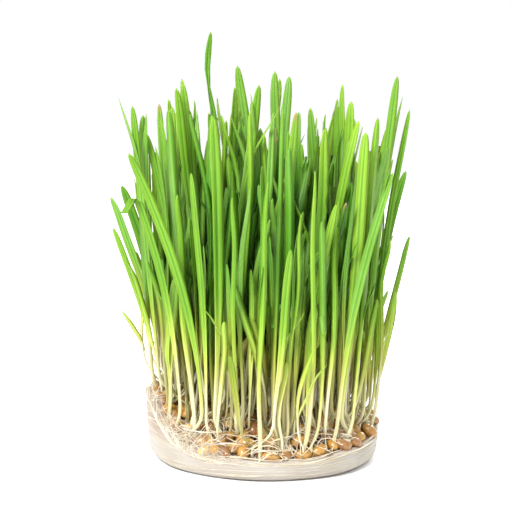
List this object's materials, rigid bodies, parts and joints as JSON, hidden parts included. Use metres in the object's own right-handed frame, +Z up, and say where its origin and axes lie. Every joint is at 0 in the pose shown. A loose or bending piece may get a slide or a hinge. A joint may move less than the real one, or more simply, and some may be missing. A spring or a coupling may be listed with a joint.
{
  "type": "wheatgrass pad",
  "caption": "Round pad of young wheat grass standing on its own felted white root mat, with swollen grains among the stems.",
  "frame": {"origin": "centre of the flat underside of the root mat, on the surface that it stands on", "axes": "+Z up along the shoots, -Y towards the low front edge of the mat, +X to the right; the mat's high side is at -X"},
  "size_m": [0.1316, 0.1154, 0.1824],
  "materials": {
    "roots": "matte",
    "shoots": "satin"
  },
  "bodies": {
    "root": {"root_mat": "roots", "seedlings_1": "shoots", "seedlings_2": "shoots", "seedlings_3": "shoots", "seedlings_4": "shoots", "seedlings_5": "shoots", "seedlings_6": "shoots", "seedlings_7": "shoots", "seedlings_8": "shoots", "seedlings_9": "shoots", "seedlings_10": "shoots", "seedlings_11": "shoots", "seedlings_12": "shoots", "seedlings_13": "shoots", "seedlings_14": "shoots", "seedlings_15": "shoots", "seedlings_16": "shoots", "seedlings_17": "shoots", "seedlings_18": "shoots", "seedlings_19": "shoots", "seedlings_20": "shoots", "seedlings_21": "shoots", "seedlings_22": "shoots", "seedlings_23": "shoots", "seedlings_24": "shoots", "seedlings_25": "shoots", "seedlings_26": "shoots", "seedlings_27": "shoots", "seedlings_28": "shoots", "seedlings_29": "shoots", "seedlings_30": "shoots", "seedlings_31": "shoots", "seedlings_32": "shoots", "seedlings_33": "shoots", "seedlings_34": "shoots", "seedlings_35": "shoots", "seedlings_36": "shoots", "seedlings_37": "shoots", "seedlings_38": "shoots", "seedlings_39": "shoots", "seedlings_40": "shoots", "seedlings_41": "shoots", "seedlings_42": "shoots", "seedlings_43": "shoots", "seedlings_44": "shoots", "seedlings_45": "shoots", "seedlings_46": "shoots", "seedlings_47": "shoots", "seedlings_48": "shoots", "seedlings_49": "shoots", "seedlings_50": "shoots", "seedlings_51": "shoots", "seedlings_52": "shoots", "seedlings_53": "shoots"}
  },
  "joints": []
}
